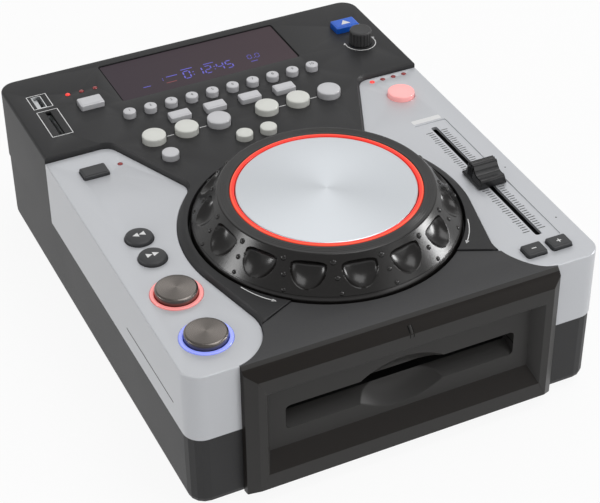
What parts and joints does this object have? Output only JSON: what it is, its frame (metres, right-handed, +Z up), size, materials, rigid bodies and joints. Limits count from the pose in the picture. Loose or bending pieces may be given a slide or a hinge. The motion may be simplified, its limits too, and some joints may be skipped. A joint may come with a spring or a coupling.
{
  "type": "tabletop disc player",
  "caption": "Tabletop disc player with a slot-in drive, a dimpled jog wheel, a pitch fader, round and square push buttons, a selector knob and a smoked display window.",
  "frame": {"origin": "centre of the bounding box in plan, on the surface that the feet stand on", "axes": "+Z up, front with the disc slot towards -Y, fader on the +X side"},
  "size_m": [0.2206, 0.2822, 0.1046],
  "materials": {
    "black_case": "fine grained black moulding",
    "silver_cheek": "fine silver paint",
    "display_glass": "smoked gloss window",
    "board": "green solder mask",
    "plated_steel": "plated sheet",
    "black_moulding": "satin black",
    "black_rubber": "soft black",
    "bush_brass": "turned brass",
    "jog_black": "semi-gloss black",
    "lit_red": "lit translucent red",
    "spun_metal": "circular spun finish",
    "grey_button": "satin light grey",
    "white_button": "lit translucent white",
    "pink_button": "lit translucent pink",
    "blue_button": "translucent blue"
  },
  "bodies": {
    "housing": {"lower_case": "black_case", "upper_case": "black_case", "left_cheek": "silver_cheek", "right_cheek": "silver_cheek", "front_bezel": "black_case", "display_window": "display_glass", "control_board": "board", "main_board": "board", "power_supply": "board", "rear_panel": "plated_steel", "rear_sockets": "black_moulding", "media_sockets": "plated_steel", "drive_frame": "plated_steel", "jog_bush": "bush_brass", "fader_body": "black_moulding", "light_guides": "lit_red", "feet": "black_rubber", "case_screws": "plated_steel"},
    "jog_wheel": {"jog_rim": "jog_black", "jog_glow_ring": "lit_red", "jog_plate": "spun_metal", "jog_shaft": "plated_steel"},
    "fader": {"fader_cap": "black_moulding"},
    "selector": {"select_knob": "black_moulding"},
    "rocker": {"power_rocker": "black_moulding"},
    "roller": {"drive_roller": "black_rubber"},
    "turntable": {"drive_turntable": "black_moulding"},
    "number_button_1_body": {"number_button_1": "grey_button"},
    "number_button_2_body": {"number_button_2": "grey_button"},
    "number_button_3_body": {"number_button_3": "grey_button"},
    "number_button_4_body": {"number_button_4": "grey_button"},
    "number_button_5_body": {"number_button_5": "grey_button"},
    "number_button_6_body": {"number_button_6": "grey_button"},
    "number_button_7_body": {"number_button_7": "grey_button"},
    "number_button_8_body": {"number_button_8": "grey_button"},
    "number_button_9_body": {"number_button_9": "grey_button"},
    "number_button_10_body": {"number_button_10": "grey_button"},
    "strip_button_1_body": {"strip_button_1": "grey_button"},
    "strip_button_2_body": {"strip_button_2": "grey_button"},
    "strip_button_3_body": {"strip_button_3": "grey_button"},
    "strip_button_4_body": {"strip_button_4": "grey_button"},
    "loop_button_1_body": {"loop_button_1": "white_button"},
    "loop_button_2_body": {"loop_button_2": "white_button"},
    "loop_button_3_body": {"loop_button_3": "grey_button"},
    "loop_button_4_body": {"loop_button_4": "white_button"},
    "loop_button_5_body": {"loop_button_5": "white_button"},
    "loop_button_6_body": {"loop_button_6": "grey_button"},
    "tap_button_body": {"tap_button": "grey_button"},
    "reverse_button_body": {"reverse_button": "white_button"},
    "relay_button_body": {"relay_button": "white_button"},
    "time_button_body": {"time_button": "grey_button"},
    "eject_button_body": {"eject_button": "blue_button"},
    "shift_button_body": {"shift_button": "black_moulding"},
    "search_back_button_body": {"search_back_button": "black_moulding"},
    "search_forward_button_body": {"search_forward_button": "black_moulding"},
    "play_button_body": {"play_button": "spun_metal"},
    "cue_button_body": {"cue_button": "spun_metal"},
    "lamp_button_body": {"lamp_button": "pink_button"},
    "bend_down_button_body": {"bend_down_button": "black_moulding"},
    "bend_up_button_body": {"bend_up_button": "black_moulding"}
  },
  "joints": [
    {"name": "jog_turn", "type": "hinge", "parent": "housing", "child": "jog_wheel", "pos_m": [0, -0.0514, 0.087], "axis": [0, 0, 1], "continuous": true},
    {"name": "fader_slide", "type": "slide", "parent": "housing", "child": "fader", "axis": [0, 1, 0], "range_m": [-0.05, 0.05]},
    {"name": "selector_turn", "type": "hinge", "parent": "housing", "child": "selector", "pos_m": [0.09275, 0.0925, 0.087], "axis": [0, 0, 1], "continuous": true},
    {"name": "rocker_tilt", "type": "hinge", "parent": "housing", "child": "rocker", "pos_m": [0.028, 0.1311, 0.0235], "axis": [1, 0, 0], "range_deg": [-12, 12]},
    {"name": "roller_turn", "type": "hinge", "parent": "housing", "child": "roller", "pos_m": [0, -0.1129, 0.0363], "axis": [1, 0, 0], "continuous": true},
    {"name": "turntable_turn", "type": "hinge", "parent": "housing", "child": "turntable", "pos_m": [0, -0.0479, 0.0435], "axis": [0, 0, 1], "continuous": true},
    {"name": "number_1_press", "type": "slide", "parent": "housing", "child": "number_button_1_body", "axis": [0, 0, -1], "range_m": [0, 0.0008], "stiffness_N_per_m": 400, "springref_m": -0.0005},
    {"name": "number_2_press", "type": "slide", "parent": "housing", "child": "number_button_2_body", "axis": [0, 0, -1], "range_m": [0, 0.0008], "stiffness_N_per_m": 400, "springref_m": -0.0005},
    {"name": "number_3_press", "type": "slide", "parent": "housing", "child": "number_button_3_body", "axis": [0, 0, -1], "range_m": [0, 0.0008], "stiffness_N_per_m": 400, "springref_m": -0.0005},
    {"name": "number_4_press", "type": "slide", "parent": "housing", "child": "number_button_4_body", "axis": [0, 0, -1], "range_m": [0, 0.0008], "stiffness_N_per_m": 400, "springref_m": -0.0005},
    {"name": "number_5_press", "type": "slide", "parent": "housing", "child": "number_button_5_body", "axis": [0, 0, -1], "range_m": [0, 0.0008], "stiffness_N_per_m": 400, "springref_m": -0.0005},
    {"name": "number_6_press", "type": "slide", "parent": "housing", "child": "number_button_6_body", "axis": [0, 0, -1], "range_m": [0, 0.0008], "stiffness_N_per_m": 400, "springref_m": -0.0005},
    {"name": "number_7_press", "type": "slide", "parent": "housing", "child": "number_button_7_body", "axis": [0, 0, -1], "range_m": [0, 0.0008], "stiffness_N_per_m": 400, "springref_m": -0.0005},
    {"name": "number_8_press", "type": "slide", "parent": "housing", "child": "number_button_8_body", "axis": [0, 0, -1], "range_m": [0, 0.0008], "stiffness_N_per_m": 400, "springref_m": -0.0005},
    {"name": "number_9_press", "type": "slide", "parent": "housing", "child": "number_button_9_body", "axis": [0, 0, -1], "range_m": [0, 0.0008], "stiffness_N_per_m": 400, "springref_m": -0.0005},
    {"name": "number_10_press", "type": "slide", "parent": "housing", "child": "number_button_10_body", "axis": [0, 0, -1], "range_m": [0, 0.0008], "stiffness_N_per_m": 400, "springref_m": -0.0005},
    {"name": "strip_1_press", "type": "slide", "parent": "housing", "child": "strip_button_1_body", "axis": [0, 0, -1], "range_m": [0, 0.0008], "stiffness_N_per_m": 400, "springref_m": -0.0005},
    {"name": "strip_2_press", "type": "slide", "parent": "housing", "child": "strip_button_2_body", "axis": [0, 0, -1], "range_m": [0, 0.0008], "stiffness_N_per_m": 400, "springref_m": -0.0005},
    {"name": "strip_3_press", "type": "slide", "parent": "housing", "child": "strip_button_3_body", "axis": [0, 0, -1], "range_m": [0, 0.0008], "stiffness_N_per_m": 400, "springref_m": -0.0005},
    {"name": "strip_4_press", "type": "slide", "parent": "housing", "child": "strip_button_4_body", "axis": [0, 0, -1], "range_m": [0, 0.0008], "stiffness_N_per_m": 400, "springref_m": -0.0005},
    {"name": "loop_1_press", "type": "slide", "parent": "housing", "child": "loop_button_1_body", "axis": [0, 0, -1], "range_m": [0, 0.0008], "stiffness_N_per_m": 400, "springref_m": -0.0005},
    {"name": "loop_2_press", "type": "slide", "parent": "housing", "child": "loop_button_2_body", "axis": [0, 0, -1], "range_m": [0, 0.0008], "stiffness_N_per_m": 400, "springref_m": -0.0005},
    {"name": "loop_3_press", "type": "slide", "parent": "housing", "child": "loop_button_3_body", "axis": [0, 0, -1], "range_m": [0, 0.0008], "stiffness_N_per_m": 400, "springref_m": -0.0005},
    {"name": "loop_4_press", "type": "slide", "parent": "housing", "child": "loop_button_4_body", "axis": [0, 0, -1], "range_m": [0, 0.0008], "stiffness_N_per_m": 400, "springref_m": -0.0005},
    {"name": "loop_5_press", "type": "slide", "parent": "housing", "child": "loop_button_5_body", "axis": [0, 0, -1], "range_m": [0, 0.0008], "stiffness_N_per_m": 400, "springref_m": -0.0005},
    {"name": "loop_6_press", "type": "slide", "parent": "housing", "child": "loop_button_6_body", "axis": [0, 0, -1], "range_m": [0, 0.0008], "stiffness_N_per_m": 400, "springref_m": -0.0005},
    {"name": "tap_press", "type": "slide", "parent": "housing", "child": "tap_button_body", "axis": [0, 0, -1], "range_m": [0, 0.0008], "stiffness_N_per_m": 400, "springref_m": -0.0005},
    {"name": "reverse_press", "type": "slide", "parent": "housing", "child": "reverse_button_body", "axis": [0, 0, -1], "range_m": [0, 0.0008], "stiffness_N_per_m": 400, "springref_m": -0.0005},
    {"name": "relay_press", "type": "slide", "parent": "housing", "child": "relay_button_body", "axis": [0, 0, -1], "range_m": [0, 0.0008], "stiffness_N_per_m": 400, "springref_m": -0.0005},
    {"name": "time_press", "type": "slide", "parent": "housing", "child": "time_button_body", "axis": [0, 0, -1], "range_m": [0, 0.0008], "stiffness_N_per_m": 400, "springref_m": -0.0005},
    {"name": "eject_press", "type": "slide", "parent": "housing", "child": "eject_button_body", "axis": [0, 0, -1], "range_m": [0, 0.0008], "stiffness_N_per_m": 400, "springref_m": -0.0005},
    {"name": "shift_press", "type": "slide", "parent": "housing", "child": "shift_button_body", "axis": [0, 0, -1], "range_m": [0, 0.0008], "stiffness_N_per_m": 400, "springref_m": -0.0005},
    {"name": "search_back_press", "type": "slide", "parent": "housing", "child": "search_back_button_body", "axis": [0, 0, -1], "range_m": [0, 0.0008], "stiffness_N_per_m": 400, "springref_m": -0.0005},
    {"name": "search_forward_press", "type": "slide", "parent": "housing", "child": "search_forward_button_body", "axis": [0, 0, -1], "range_m": [0, 0.0008], "stiffness_N_per_m": 400, "springref_m": -0.0005},
    {"name": "play_press", "type": "slide", "parent": "housing", "child": "play_button_body", "axis": [0, 0, -1], "range_m": [0, 0.0008], "stiffness_N_per_m": 400, "springref_m": -0.0005},
    {"name": "cue_press", "type": "slide", "parent": "housing", "child": "cue_button_body", "axis": [0, 0, -1], "range_m": [0, 0.0008], "stiffness_N_per_m": 400, "springref_m": -0.0005},
    {"name": "lamp_press", "type": "slide", "parent": "housing", "child": "lamp_button_body", "axis": [0, 0, -1], "range_m": [0, 0.0008], "stiffness_N_per_m": 400, "springref_m": -0.0005},
    {"name": "bend_down_press", "type": "slide", "parent": "housing", "child": "bend_down_button_body", "axis": [0, 0, -1], "range_m": [0, 0.0008], "stiffness_N_per_m": 400, "springref_m": -0.0005},
    {"name": "bend_up_press", "type": "slide", "parent": "housing", "child": "bend_up_button_body", "axis": [0, 0, -1], "range_m": [0, 0.0008], "stiffness_N_per_m": 400, "springref_m": -0.0005}
  ]
}
